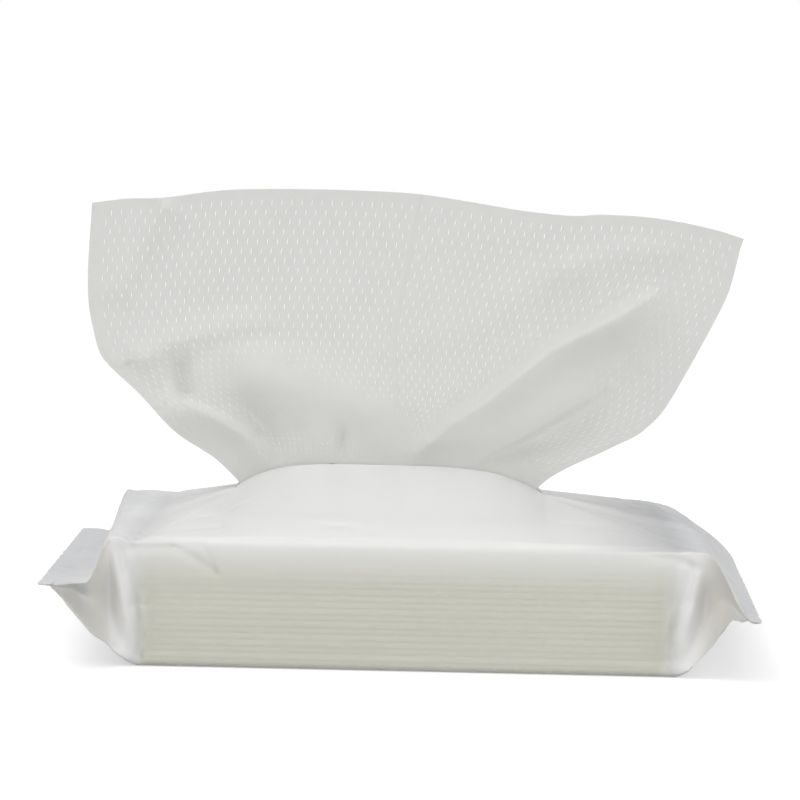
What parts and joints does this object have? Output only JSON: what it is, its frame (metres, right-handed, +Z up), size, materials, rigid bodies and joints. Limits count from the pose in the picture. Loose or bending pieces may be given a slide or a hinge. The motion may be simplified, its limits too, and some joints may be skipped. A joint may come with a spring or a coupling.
{
  "type": "pack of dusting cloths",
  "caption": "Flow-wrapped milky film pack of folded nonwoven dusting cloths, with one cloth pulled up and fanned out through the slit in its lifted top.",
  "frame": {"origin": "centre of the pack's flat underside, on its back seal, below the middle of the cloth block", "axes": "+X along the pack towards its right end fin, +Y towards its back, +Z up"},
  "size_m": [0.2934, 0.192, 0.1806],
  "materials": {
    "film": "milky translucent film, glossy",
    "pulled_cloth": "apertured white nonwoven, matte",
    "folded_cloth": "apertured white nonwoven, matte"
  },
  "bodies": {
    "root": {"film_wrapper": "film", "pulled_cloth": "pulled_cloth", "folded_cloth_01": "folded_cloth", "folded_cloth_02": "folded_cloth", "folded_cloth_03": "folded_cloth", "folded_cloth_04": "folded_cloth", "folded_cloth_05": "folded_cloth", "folded_cloth_06": "folded_cloth", "folded_cloth_07": "folded_cloth", "folded_cloth_08": "folded_cloth", "folded_cloth_09": "folded_cloth", "folded_cloth_10": "folded_cloth", "folded_cloth_11": "folded_cloth", "folded_cloth_12": "folded_cloth", "folded_cloth_13": "folded_cloth", "folded_cloth_14": "folded_cloth", "folded_cloth_15": "folded_cloth", "folded_cloth_16": "folded_cloth", "folded_cloth_17": "folded_cloth", "folded_cloth_18": "folded_cloth", "folded_cloth_19": "folded_cloth"}
  },
  "joints": []
}
